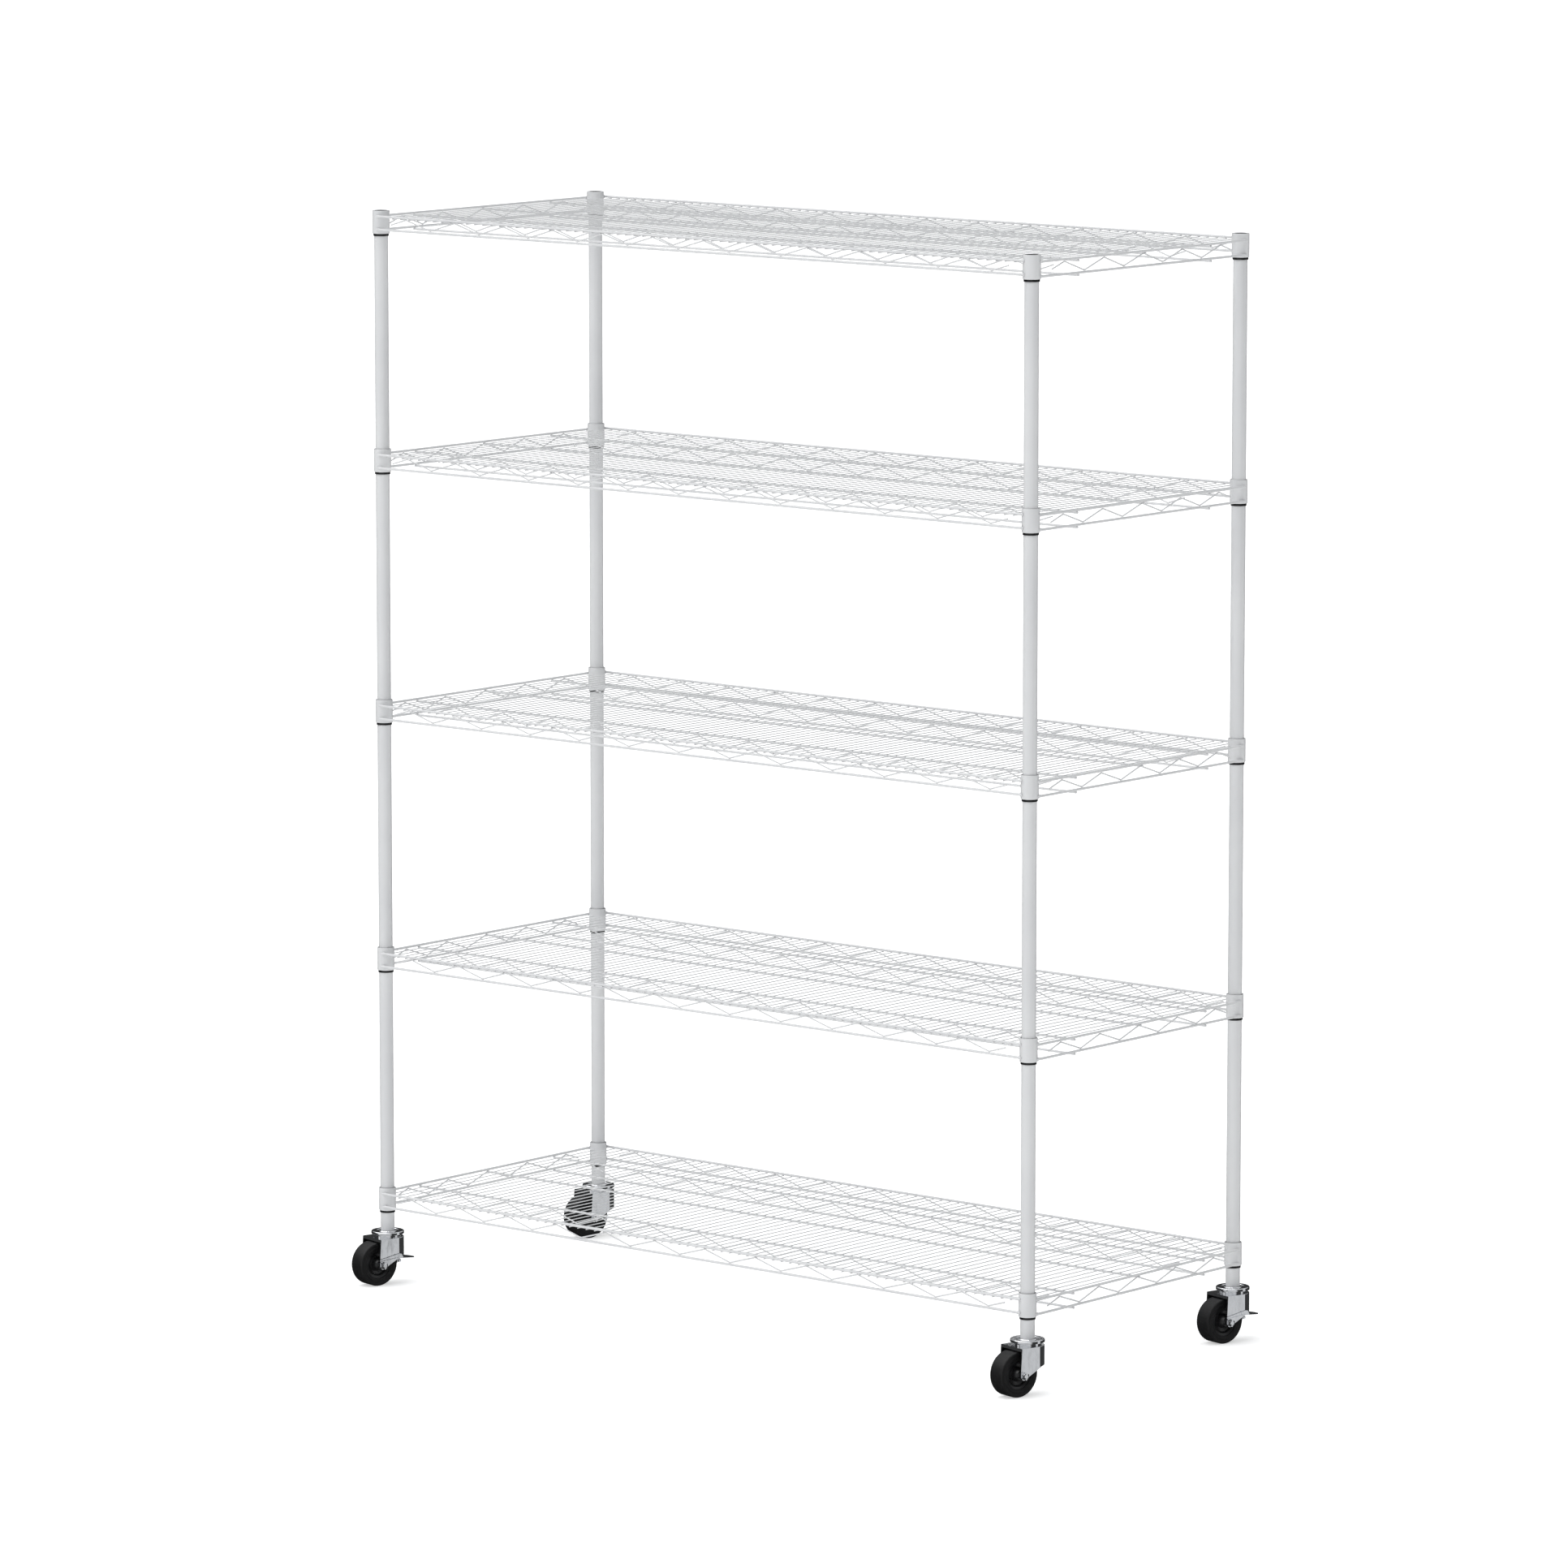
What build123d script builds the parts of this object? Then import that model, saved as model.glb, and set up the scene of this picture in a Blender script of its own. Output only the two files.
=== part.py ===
"""Five-tier mobile wire shelving rack: four tube posts, five welded wire shelves, four swivel casters.

Frame: origin on the floor under the middle of the rack, +X along the shelves, +Y towards the back,
+Z up. Lengths are in millimetres, angles in degrees. The casters are drawn trailing to the front.
"""
from build123d import *
import os

# ---------------------------------------------------------------- rack
POST_SPAN_X = 1490.0            # between post centres along the shelf
POST_SPAN_Y = 584.0             # between post centres across the shelf
TIER_HEIGHTS = (134.0, 578.0, 1032.0, 1488.0, 1918.0)    # reference height of each shelf

POST_RADIUS = 12.5
POST_WALL = 1.2
POST_FOOT = 98.0                # underside of a post, which stands on its caster
CAP_DEPTH = 16.0
INSERT_DEPTH = 30.0

# Heights of a shelf's own pieces are counted from the shelf's reference height.
COLLAR_RADIUS = 15.5
COLLAR_FOOT = 2.0
COLLAR_TOP = 43.5
COLLAR_BORE_FOOT = 14.0         # the bore narrows upwards and wedges on the sleeve
COLLAR_BORE_TOP = 13.3
COLLAR_ROUNDING = 0.8
SLEEVE_FOOT = -2.2
SLEEVE_TOP = 42.3
SLEEVE_CLEARANCE = 0.05
SLEEVE_SLIT = 0.6               # between the two halves of a sleeve
SLEEVE_RIM_RADIUS = 14.5        # the rim that shows below the collar
SLEEVE_RIM_TOP = 1.5
SLEEVE_RELIEF_RADIUS = 13.2     # between the two conical lands that bear on the collar
SLEEVE_RELIEF_FOOT = 11.8
SLEEVE_RELIEF_TOP = 31.8

RAIL_RADIUS = 2.2               # perimeter wires
SUPPORT_RADIUS = 2.0            # long wires under the deck
SNAKE_RADIUS = 1.3              # zigzag wires
DECK_RADIUS = 0.9               # cross wires that carry the goods
RAIL_OFFSET = 16.0              # from a post's centre out to a rail's centre, sunk into the collar
RAIL_END_GAP = 4.0              # how far a rail stops short of the post's centre line
LONG_RAIL_TOP_Z = 33.7
LONG_RAIL_FOOT_Z = 10.0
SIDE_RAIL_FOOT_Z = 6.75
DECK_Z = LONG_RAIL_TOP_Z - RAIL_RADIUS - DECK_RADIUS
SUPPORT_TOP_Z = DECK_Z - DECK_RADIUS - SUPPORT_RADIUS
SIDE_RAIL_TOP_Z = SUPPORT_TOP_Z + SUPPORT_RADIUS + RAIL_RADIUS
SUPPORT_FOOT_Z = SIDE_RAIL_FOOT_Z - RAIL_RADIUS - SUPPORT_RADIUS
SUPPORT_Y = 185.5               # the two deep trusses under the deck
SUPPORT_OVERHANG = 1.5          # wire ends past the side rails' centres

DECK_WIRES = 76
DECK_PITCH = 19.75
DECK_OVERHANG = 2.5             # wire ends past the long rails' centres
END_WIRE_GAP = 0.2              # the outermost deck wires stop at the collars

LONG_SNAKE_PITCH = 116.6        # one full zigzag
LONG_SNAKE_FIRST = -669.5       # first peak
LONG_SNAKE_BENDS = 24
SIDE_SNAKE_PITCH = 109.3
SIDE_SNAKE_FIRST = -218.6
SIDE_SNAKE_BENDS = 9
RIGHT_SNAKE_SHIFT = -5.0        # the right side's zigzag sits a little further forward
SNAKE_BEND = 3.0                # centre-line radius of the bends
SNAKE_STUB = 0.62               # loose end, as a share of one leg

# ---------------------------------------------------------------- casters
# A caster is drawn with its swivel axis at the origin and its wheel trailing along +X.
CASTER_HEADING = -103.0         # from +X of the rack to the direction in which the wheels trail
WHEEL_RADIUS = 40.0
WHEEL_HALF_WIDTH = 16.5
WHEEL_TRAIL = 30.0              # from the swivel axis back to the axle
TYRE_BORE = 26.0
TYRE_ROUNDING = 3.0
TYRE_BEAD = 1.2                 # how far the tyre's bead is set in from its side
TYRE_BEAD_HEIGHT = 3.0
HUB_HALF_WIDTH = 20.0
HUB_BOSS = 11.0
HUB_BOSS_CHAMFER = 2.5
# Steps of the dished hub on each side, as (distance in from the tyre's side, radius).
HUB_DISH = ((4.5, 11.0), (8.5, 12.5), (7.0, 19.0), (3.0, 21.5), (2.2, 26.0))
BUSH_RADIUS = 6.0
BOLT_RADIUS = 4.0
NUT_FLATS = 12.0
NUT_HEIGHT = 5.5
BOLT_END = 1.5                  # bolt past its nut
RUNNING_FIT = 0.06              # radial clearance of what turns on a pin
FORK_HALF_WIDTH = 29.5
FORK_WALL = 2.5
FORK_BACK = 37.5
FORK_ROOF_BACK = 34.5           # the rear edge leans forward towards the roof
FORK_TOP = 87.5
FORK_LIP = 82.5                 # underside of the folded lip over the wheel
FORK_BOSS = 7.5
FORK_ROUNDING = 1.2
FORK_NOSE_FOOT = 54.0           # lower edge at the rounded front
FORK_KNEE = (-8.0, 52.0)        # where the lower edge turns down towards the axle
FORK_TANGENT = (0.77, 0.64)     # where the slanted edge meets the boss, in boss radii
BALL_GROOVE_GAP = 0.3
RACE_RADIUS = 30.0
RACE_TOP = POST_FOOT
RACE_SKIRT = 1.9
RACE_DEPTH = 5.5
RACE_SHEET = 2.4
RACE_ROUNDING = 1.6
LOWER_RACE_RADIUS = 24.5
LOWER_RACE_TOP = 92.0
BALLS = 16
BALL_RADIUS = 2.8
BALL_CIRCLE = 19.0
BALL_Z = 92.3
KINGPIN_RADIUS = 4.0
KINGPIN_HEAD = 8.0
KINGPIN_HEAD_DEPTH = 3.0
KINGPIN_GAP = 0.3               # under the fork's roof
STEM_RADIUS = 5.0
STEM_TOP = 126.0
STEM_CHAMFER = 1.0
BRAKE_PIVOT = (3.0, 54.5)       # behind the swivel axis, above the floor
BRAKE_ARM_INNER = FORK_HALF_WIDTH + 0.6
BRAKE_SHEET = 1.8
RIVET_RADIUS = 2.0
RIVET_FIT = 0.02
RIVET_HEAD_RADIUS = 3.2
RIVET_HEAD_HEIGHT = 1.0
RIVET_TAIL = 0.8                # rivet end inside the fork
TONGUE_ROOT = (-3.0, 50.5)      # where the pedal meets the side arms
TONGUE_SLOPE = (0.985, 0, 0.174)
TONGUE_SHOULDER = 48.0
TONGUE_LENGTH = 54.0
TONGUE_HALF_TIP = 9.0
TONGUE_NOTCH = 9.0              # opening that clears the fork's round nose
# Side arm and its folded stiffening flange, as (behind the swivel axis, above the floor).
ARM_OUTLINE = ((-12.0, 49.4), (-3.0, 50.7), (39.0, 47.0), (39.0, 51.0), (-5.0, 58.5), (-9.0, 57.5),
               (-12.0, 51.5))
FLANGE_OUTLINE = ((-3.0, 50.7), (39.0, 47.0), (39.0, 48.5), (-3.0, 52.3))
FLANGE_ROOT = 0.2
FLANGE_WIDTH = 2.4
ADJUSTER_X = -24.0              # small bolt under the pedal
ADJUSTER_FOOT = 36.5
ADJUSTER_HEAD = 3.5
ADJUSTER_RADIUS = 2.5
ADJUSTER_FLATS = 9.0
SHOE_FRONT = -26.8
SHOE_Z = 44.5
SHOE_LENGTH = 14.6
SHOE_WIDTH = 24.0
SHOE_SHEET = 1.2
SHOE_DROP = 7.0

POSTS = {
    "front_left": (-POST_SPAN_X / 2, -POST_SPAN_Y / 2),
    "front_right": (POST_SPAN_X / 2, -POST_SPAN_Y / 2),
    "back_left": (-POST_SPAN_X / 2, POST_SPAN_Y / 2),
    "back_right": (POST_SPAN_X / 2, POST_SPAN_Y / 2),
}
BRAKED_CORNERS = ("front_left", "back_right")
POST_TOP = TIER_HEIGHTS[-1] + COLLAR_TOP
RAIL_X = POST_SPAN_X / 2 + RAIL_OFFSET
RAIL_Y = POST_SPAN_Y / 2 + RAIL_OFFSET
STANDING = (Align.CENTER, Align.CENTER, Align.MIN)
ALONG_X = (0, 90, 0)
ALONG_Y = (90, 0, 0)


def save(part, label):
    """Label a finished piece and write its STEP file."""
    part.label = label
    export_step(part, f"parts/{label}.step")


def zigzag(first, pitch, bends, high, low):
    """Corners of a zigzag that starts and ends with a loose stub, as (distance, height)."""
    leg = pitch / 2
    swing = high - low
    corners = [(first + i * leg, low if i % 2 else high) for i in range(bends)]
    end_side = -1 if bends % 2 else 1
    start = (first - SNAKE_STUB * leg, high - SNAKE_STUB * swing)
    end = (corners[-1][0] + SNAKE_STUB * leg, corners[-1][1] + end_side * SNAKE_STUB * swing)
    return [start, *corners, end]


def placed(piece, places, label):
    """Write copies of a piece at the given places as one node."""
    with BuildPart() as group:
        with Locations(*places):
            add(piece)
    save(group.part, label)


os.makedirs("parts", exist_ok=True)
post_places = [Location((x, y, 0)) for x, y in POSTS.values()]

# ---------------------------------------------------------------- posts, caps and stem sockets
with BuildPart() as post:
    with Locations((0, 0, POST_FOOT)):
        Cylinder(POST_RADIUS, POST_TOP - POST_FOOT, align=STANDING)
        Cylinder(POST_RADIUS - POST_WALL, POST_TOP - POST_FOOT, align=STANDING, mode=Mode.SUBTRACT)
for corner, (x, y) in POSTS.items():
    placed(post.part, [Location((x, y, 0))], f"post_{corner}")

bore = POST_RADIUS - POST_WALL
with BuildPart() as post_cap:
    with Locations((0, 0, POST_TOP - CAP_DEPTH)):
        Cylinder(bore - SLEEVE_CLEARANCE, CAP_DEPTH, align=STANDING)
        Cylinder(bore - 2.0, CAP_DEPTH - 2.5, align=STANDING, mode=Mode.SUBTRACT)
placed(post_cap.part, post_places, "post_caps")

with BuildPart() as stem_socket:
    with Locations((0, 0, POST_FOOT)):
        Cylinder(bore - SLEEVE_CLEARANCE, INSERT_DEPTH, align=STANDING)
        Cylinder(STEM_RADIUS + SLEEVE_CLEARANCE, INSERT_DEPTH, align=STANDING, mode=Mode.SUBTRACT)
placed(stem_socket.part, post_places, "stem_sockets")

# ---------------------------------------------------------------- one shelf, drawn at height zero
collar_height = COLLAR_TOP - COLLAR_FOOT
with BuildPart() as collar:
    with Locations((0, 0, COLLAR_FOOT)):
        Cylinder(COLLAR_RADIUS, collar_height, align=STANDING)
    fillet(collar.edges().group_by(Axis.Z)[0], COLLAR_ROUNDING)
    with Locations((0, 0, COLLAR_FOOT)):
        Cone(COLLAR_BORE_FOOT, COLLAR_BORE_TOP, collar_height, align=STANDING, mode=Mode.SUBTRACT)

with BuildPart() as sleeve:
    with Locations((0, 0, SLEEVE_FOOT)):
        Cone(COLLAR_BORE_FOOT - SLEEVE_CLEARANCE, COLLAR_BORE_TOP - SLEEVE_CLEARANCE,
             SLEEVE_TOP - SLEEVE_FOOT, align=STANDING)
        Cylinder(SLEEVE_RIM_RADIUS, SLEEVE_RIM_TOP - SLEEVE_FOOT, align=STANDING)
    with BuildSketch(Plane.XY.offset(SLEEVE_RELIEF_FOOT)):
        Circle(COLLAR_RADIUS)
        Circle(SLEEVE_RELIEF_RADIUS, mode=Mode.SUBTRACT)
    extrude(amount=SLEEVE_RELIEF_TOP - SLEEVE_RELIEF_FOOT, mode=Mode.SUBTRACT)
    with Locations((0, 0, SLEEVE_FOOT)):
        Cylinder(POST_RADIUS, SLEEVE_TOP - SLEEVE_FOOT, align=STANDING, mode=Mode.SUBTRACT)
        Box(3 * COLLAR_RADIUS, SLEEVE_SLIT, SLEEVE_TOP - SLEEVE_FOOT, align=STANDING,
            mode=Mode.SUBTRACT)

long_rail = POST_SPAN_X - 2 * RAIL_END_GAP
side_rail = POST_SPAN_Y - 2 * RAIL_END_GAP
with BuildPart() as rails:
    with Locations(*[Location((0, side * RAIL_Y, z), ALONG_X)
                     for side in (-1, 1) for z in (LONG_RAIL_FOOT_Z, LONG_RAIL_TOP_Z)]):
        Cylinder(RAIL_RADIUS, long_rail)
    with Locations(*[Location((side * RAIL_X, 0, z), ALONG_Y)
                     for side in (-1, 1) for z in (SIDE_RAIL_FOOT_Z, SIDE_RAIL_TOP_Z)]):
        Cylinder(RAIL_RADIUS, side_rail)

long_corners = zigzag(LONG_SNAKE_FIRST, LONG_SNAKE_PITCH, LONG_SNAKE_BENDS,
                      LONG_RAIL_TOP_Z - RAIL_RADIUS - SNAKE_RADIUS,
                      LONG_RAIL_FOOT_Z + RAIL_RADIUS + SNAKE_RADIUS)
side_corners = zigzag(SIDE_SNAKE_FIRST, SIDE_SNAKE_PITCH, SIDE_SNAKE_BENDS,
                      SIDE_RAIL_TOP_Z - RAIL_RADIUS - SNAKE_RADIUS,
                      SIDE_RAIL_FOOT_Z + RAIL_RADIUS + SNAKE_RADIUS)
with BuildPart() as edge_snakes:
    for side in (-1, 1):
        with BuildLine(Plane(origin=(0, side * RAIL_Y, 0), x_dir=(1, 0, 0), z_dir=(0, -1, 0))) as bent:
            FilletPolyline(*long_corners, radius=SNAKE_BEND)
        with BuildSketch(Plane(origin=bent.line @ 0, z_dir=bent.line % 0)):
            Circle(SNAKE_RADIUS)
        sweep()
    for side, shift in ((-1, 0.0), (1, RIGHT_SNAKE_SHIFT)):
        with BuildLine(Plane(origin=(side * RAIL_X, shift, 0), x_dir=(0, 1, 0), z_dir=(1, 0, 0))) as bent:
            FilletPolyline(*side_corners, radius=SNAKE_BEND)
        with BuildSketch(Plane(origin=bent.line @ 0, z_dir=bent.line % 0)):
            Circle(SNAKE_RADIUS)
        sweep()

support_length = 2 * (RAIL_X + SUPPORT_OVERHANG)
support_corners = zigzag(LONG_SNAKE_FIRST, LONG_SNAKE_PITCH, LONG_SNAKE_BENDS,
                         SUPPORT_TOP_Z - SUPPORT_RADIUS - SNAKE_RADIUS,
                         SUPPORT_FOOT_Z + SUPPORT_RADIUS + SNAKE_RADIUS)
with BuildPart() as supports:
    with Locations(*[Location((0, y, z), ALONG_X) for y, z in (
            (-SUPPORT_Y, SUPPORT_TOP_Z), (-SUPPORT_Y, SUPPORT_FOOT_Z), (0, SUPPORT_TOP_Z),
            (SUPPORT_Y, SUPPORT_TOP_Z), (SUPPORT_Y, SUPPORT_FOOT_Z))]):
        Cylinder(SUPPORT_RADIUS, support_length)
    for side in (-1, 1):
        with BuildLine(Plane(origin=(0, side * SUPPORT_Y, 0), x_dir=(1, 0, 0), z_dir=(0, -1, 0))) as bent:
            FilletPolyline(*support_corners, radius=SNAKE_BEND)
        with BuildSketch(Plane(origin=bent.line @ 0, z_dir=bent.line % 0)):
            Circle(SNAKE_RADIUS)
        sweep()

deck_ends = DECK_PITCH * (DECK_WIRES - 1) / 2
inner_wires = [-deck_ends + i * DECK_PITCH for i in range(1, DECK_WIRES - 1)]
end_wire_reach = POST_SPAN_Y / 2 - COLLAR_RADIUS - END_WIRE_GAP
with BuildPart() as deck:
    with Locations(*[Location((x, 0, DECK_Z), ALONG_Y) for x in inner_wires]):
        Cylinder(DECK_RADIUS, 2 * (RAIL_Y + DECK_OVERHANG))
    with Locations(*[Location((x, 0, DECK_Z), ALONG_Y) for x in (-deck_ends, deck_ends)]):
        Cylinder(DECK_RADIUS, 2 * end_wire_reach)

for number, height in enumerate(TIER_HEIGHTS, start=1):
    at_tier = [Location((0, 0, height))]
    at_collars = [Location((x, y, height)) for x, y in POSTS.values()]
    placed(collar.part, at_collars, f"shelf_{number}_collars")
    placed(sleeve.part, at_collars, f"shelf_{number}_sleeve_halves")
    placed(rails.part, at_tier, f"shelf_{number}_rails")
    placed(edge_snakes.part, at_tier, f"shelf_{number}_edge_zigzags")
    placed(supports.part, at_tier, f"shelf_{number}_support_trusses")
    placed(deck.part, at_tier, f"shelf_{number}_deck_wires")

# ---------------------------------------------------------------- caster: stem with upper race
kingpin_foot = FORK_TOP - FORK_WALL - KINGPIN_GAP - KINGPIN_HEAD_DEPTH
with BuildPart() as stem:
    with BuildSketch(Plane.XZ):
        with BuildLine():
            Polyline((0, RACE_TOP - RACE_SHEET), (RACE_RADIUS - RACE_SKIRT, RACE_TOP - RACE_SHEET),
                     (RACE_RADIUS - RACE_SKIRT, RACE_TOP - RACE_DEPTH),
                     (RACE_RADIUS, RACE_TOP - RACE_DEPTH), (RACE_RADIUS, RACE_TOP - RACE_ROUNDING))
            RadiusArc((RACE_RADIUS, RACE_TOP - RACE_ROUNDING),
                      (RACE_RADIUS - RACE_ROUNDING, RACE_TOP), -RACE_ROUNDING)
            Polyline((RACE_RADIUS - RACE_ROUNDING, RACE_TOP), (STEM_RADIUS, RACE_TOP),
                     (STEM_RADIUS, STEM_TOP - STEM_CHAMFER), (STEM_RADIUS - STEM_CHAMFER, STEM_TOP),
                     (0, STEM_TOP), (0, RACE_TOP - RACE_SHEET))
        make_face()
    revolve(axis=Axis.Z)
    with Locations((0, 0, kingpin_foot)):
        Cylinder(KINGPIN_HEAD, KINGPIN_HEAD_DEPTH, align=STANDING)
        Cylinder(KINGPIN_RADIUS, RACE_TOP - RACE_SHEET - kingpin_foot, align=STANDING)

with BuildPart() as balls:
    with Locations((0, 0, BALL_Z)):
        with PolarLocations(BALL_CIRCLE, BALLS):
            Sphere(BALL_RADIUS)

# ---------------------------------------------------------------- caster: fork with lower race
AXLE_Z = WHEEL_RADIUS
boss_start = (WHEEL_TRAIL - FORK_BOSS * FORK_TANGENT[0], AXLE_Z - FORK_BOSS * FORK_TANGENT[1])
side_view = Plane.XZ.offset(-2 * FORK_HALF_WIDTH)        # faces -Y, seen with +X to the right
with BuildPart() as fork:
    with BuildSketch(Plane.XY.offset(AXLE_Z - FORK_BOSS)):
        Circle(FORK_HALF_WIDTH)
        Rectangle(FORK_BACK, 2 * FORK_HALF_WIDTH, align=(Align.MIN, Align.CENTER))
    extrude(amount=FORK_TOP - AXLE_Z + FORK_BOSS)
    fillet(fork.edges().group_by(Axis.Z)[-1], FORK_ROUNDING)
    with BuildSketch(side_view):
        with BuildLine():
            Polyline((-FORK_HALF_WIDTH - 1, FORK_TOP), (-FORK_HALF_WIDTH - 1, FORK_NOSE_FOOT),
                     FORK_KNEE, boss_start)
            RadiusArc(boss_start, (WHEEL_TRAIL + FORK_BOSS, AXLE_Z), -FORK_BOSS)
            Polyline((WHEEL_TRAIL + FORK_BOSS, AXLE_Z), (FORK_ROOF_BACK, FORK_TOP),
                     (-FORK_HALF_WIDTH - 1, FORK_TOP))
        make_face()
    extrude(amount=4 * FORK_HALF_WIDTH, both=True, mode=Mode.INTERSECT)
    with BuildSketch(Plane.XY.offset(AXLE_Z - FORK_BOSS - 1)):
        Circle(FORK_HALF_WIDTH - FORK_WALL)
        Rectangle(FORK_ROOF_BACK - FORK_WALL, 2 * (FORK_HALF_WIDTH - FORK_WALL),
                  align=(Align.MIN, Align.CENTER))
    extrude(amount=FORK_TOP - FORK_WALL - AXLE_Z + FORK_BOSS + 1, mode=Mode.SUBTRACT)
    with BuildSketch(Plane.XY.offset(AXLE_Z - FORK_BOSS - 1)):
        Rectangle(FORK_BACK + 1, 2 * (FORK_HALF_WIDTH - FORK_WALL), align=(Align.MIN, Align.CENTER))
    extrude(amount=FORK_LIP - AXLE_Z + FORK_BOSS + 1, mode=Mode.SUBTRACT)
    with Locations((0, 0, FORK_TOP)):
        Cylinder(LOWER_RACE_RADIUS, LOWER_RACE_TOP - FORK_TOP, align=STANDING)
    with Locations((0, 0, BALL_Z)):
        Torus(BALL_CIRCLE, BALL_RADIUS + BALL_GROOVE_GAP, mode=Mode.SUBTRACT)
    with Locations((0, 0, FORK_TOP - FORK_WALL - 1)):
        Cylinder(KINGPIN_RADIUS + RUNNING_FIT, LOWER_RACE_TOP - FORK_TOP + FORK_WALL + 2,
                 align=STANDING, mode=Mode.SUBTRACT)
    with Locations(Location((WHEEL_TRAIL, 0, AXLE_Z), ALONG_Y)):
        Cylinder(BOLT_RADIUS + SLEEVE_CLEARANCE, 3 * FORK_HALF_WIDTH, mode=Mode.SUBTRACT)

with BuildPart() as braked_fork:
    add(fork.part)
    with Locations(Location((BRAKE_PIVOT[0], 0, BRAKE_PIVOT[1]), ALONG_Y)):
        Cylinder(RIVET_RADIUS + RUNNING_FIT, 3 * FORK_HALF_WIDTH, mode=Mode.SUBTRACT)

# ---------------------------------------------------------------- caster: axle bolt, nut and bush
fork_inside = FORK_HALF_WIDTH - FORK_WALL
with BuildPart() as axle:
    with Locations(Location((WHEEL_TRAIL, 0, AXLE_Z), ALONG_Y)):
        Cylinder(BOLT_RADIUS, 2 * (FORK_HALF_WIDTH + NUT_HEIGHT + BOLT_END))
    with BuildSketch(Plane(origin=(WHEEL_TRAIL, -FORK_HALF_WIDTH, AXLE_Z), x_dir=(1, 0, 0),
                           z_dir=(0, -1, 0))):
        RegularPolygon(NUT_FLATS / 2, 6, major_radius=False, rotation=30)
    extrude(amount=NUT_HEIGHT)
with BuildPart() as axle_nut:
    with BuildSketch(Plane(origin=(WHEEL_TRAIL, FORK_HALF_WIDTH, AXLE_Z), x_dir=(1, 0, 0),
                           z_dir=(0, 1, 0))):
        RegularPolygon(NUT_FLATS / 2, 6, major_radius=False, rotation=30)
        Circle(BOLT_RADIUS + SLEEVE_CLEARANCE, mode=Mode.SUBTRACT)
    extrude(amount=NUT_HEIGHT)
with BuildPart() as axle_bush:
    with Locations(Location((WHEEL_TRAIL, 0, AXLE_Z), ALONG_Y)):
        Cylinder(BUSH_RADIUS, 2 * fork_inside - 0.1)
        Cylinder(BOLT_RADIUS + SLEEVE_CLEARANCE, 2 * fork_inside, mode=Mode.SUBTRACT)

# ---------------------------------------------------------------- caster: wheel
wheel_axis = Axis((WHEEL_TRAIL, 0, AXLE_Z), (0, 1, 0))
half = WHEEL_HALF_WIDTH
section = Plane(origin=(WHEEL_TRAIL, 0, AXLE_Z), x_dir=(0, 1, 0), z_dir=(1, 0, 0))
with BuildPart() as hub:
    with BuildSketch(section):
        with BuildLine():
            Polyline((-HUB_HALF_WIDTH, BUSH_RADIUS + RUNNING_FIT),
                     (-HUB_HALF_WIDTH, HUB_BOSS - HUB_BOSS_CHAMFER),
                     *[(-half + inset, radius) for inset, radius in HUB_DISH],
                     *[(half - inset, radius) for inset, radius in reversed(HUB_DISH)],
                     (HUB_HALF_WIDTH, HUB_BOSS - HUB_BOSS_CHAMFER),
                     (HUB_HALF_WIDTH, BUSH_RADIUS + RUNNING_FIT), close=True)
        make_face()
    revolve(axis=wheel_axis)

with BuildPart() as tyre:
    with BuildSketch(section):
        with BuildLine():
            Polyline((-half + TYRE_BEAD, TYRE_BORE), (half - TYRE_BEAD, TYRE_BORE),
                     (half, TYRE_BORE + TYRE_BEAD_HEIGHT), (half, WHEEL_RADIUS),
                     (-half, WHEEL_RADIUS), (-half, TYRE_BORE + TYRE_BEAD_HEIGHT), close=True)
        make_face()
    revolve(axis=wheel_axis)
    fillet(tyre.edges().filter_by(GeomType.CIRCLE).sort_by(SortBy.LENGTH)[-2:], TYRE_ROUNDING)

# ---------------------------------------------------------------- caster: brake lever
arm_outer = BRAKE_ARM_INNER + BRAKE_SHEET
with BuildPart() as lever:
    with BuildSketch(Plane(origin=(TONGUE_ROOT[0], 0, TONGUE_ROOT[1]), x_dir=TONGUE_SLOPE,
                           z_dir=(-TONGUE_SLOPE[2], 0, TONGUE_SLOPE[0]))):
        with BuildLine():
            Polyline((-TONGUE_SHOULDER, -TONGUE_HALF_TIP), (0, -arm_outer), (0, arm_outer),
                     (-TONGUE_SHOULDER, TONGUE_HALF_TIP))
            ThreePointArc((-TONGUE_SHOULDER, TONGUE_HALF_TIP), (-TONGUE_LENGTH, 0),
                          (-TONGUE_SHOULDER, -TONGUE_HALF_TIP))
        make_face()
        with Locations((1, 0)):
            Rectangle(TONGUE_NOTCH, 2 * BRAKE_ARM_INNER, align=(Align.MAX, Align.CENTER),
                      mode=Mode.SUBTRACT)
    extrude(amount=BRAKE_SHEET)
    for side in (-1, 1):
        with BuildSketch(Plane(origin=(0, side * BRAKE_ARM_INNER, 0), x_dir=(1, 0, 0),
                               z_dir=(0, -1, 0))):
            with BuildLine():
                Polyline(*ARM_OUTLINE, close=True)
            make_face()
            with Locations(BRAKE_PIVOT):
                Circle(RIVET_RADIUS + RIVET_FIT, mode=Mode.SUBTRACT)
        extrude(amount=-side * BRAKE_SHEET)
        with BuildSketch(Plane(origin=(0, side * (arm_outer - FLANGE_ROOT), 0), x_dir=(1, 0, 0),
                               z_dir=(0, -1, 0))):
            with BuildLine():
                Polyline(*FLANGE_OUTLINE, close=True)
            make_face()
        extrude(amount=-side * FLANGE_WIDTH)
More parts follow.
